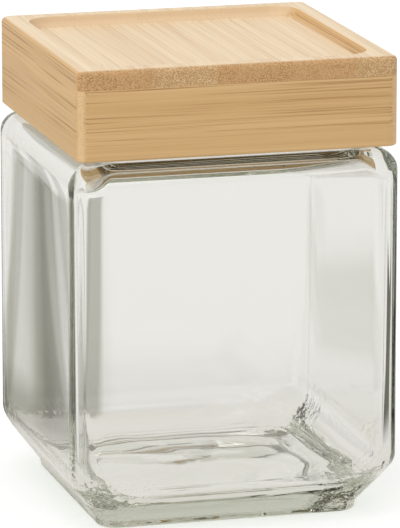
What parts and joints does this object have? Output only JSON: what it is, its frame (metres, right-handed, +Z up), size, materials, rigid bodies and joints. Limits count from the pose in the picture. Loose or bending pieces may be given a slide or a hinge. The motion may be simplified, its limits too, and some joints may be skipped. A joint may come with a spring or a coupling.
{
  "type": "storage jar",
  "caption": "Square clear glass storage jar with a bevelled foot and a lift-off bamboo lid whose recessed top takes the foot of another jar.",
  "frame": {"origin": "middle of the foot, on the surface the jar stands on", "axes": "+Z up, the way the lid lifts off; the lid's top strips run along Y and show their end grain on the -Y and +Y sides"},
  "size_m": [0.104, 0.104, 0.145],
  "materials": {
    "clear_glass": "clear, glossy, faint green-grey in thick places",
    "top_bamboo": "pale satin bamboo, speckled darker end grain on two sides",
    "skirt_bamboo": "tan satin bamboo, fine lines along each rail",
    "plug_bamboo": "plain satin bamboo",
    "silicone": "translucent white, matt"
  },
  "bodies": {
    "jar": {"glass_jar": "clear_glass"},
    "lid": {"top_strip_1": "top_bamboo", "top_strip_2": "top_bamboo", "top_strip_3": "top_bamboo", "top_strip_4": "top_bamboo", "top_strip_5": "top_bamboo", "skirt_rail_front": "skirt_bamboo", "skirt_rail_right": "skirt_bamboo", "skirt_rail_back": "skirt_bamboo", "skirt_rail_left": "skirt_bamboo", "plug_board": "plug_bamboo", "seal_ring": "silicone"}
  },
  "joints": [
    {"name": "lid_lift", "type": "slide", "parent": "jar", "child": "lid", "axis": [0, 0, 1], "range_m": [0, 0.045]}
  ]
}
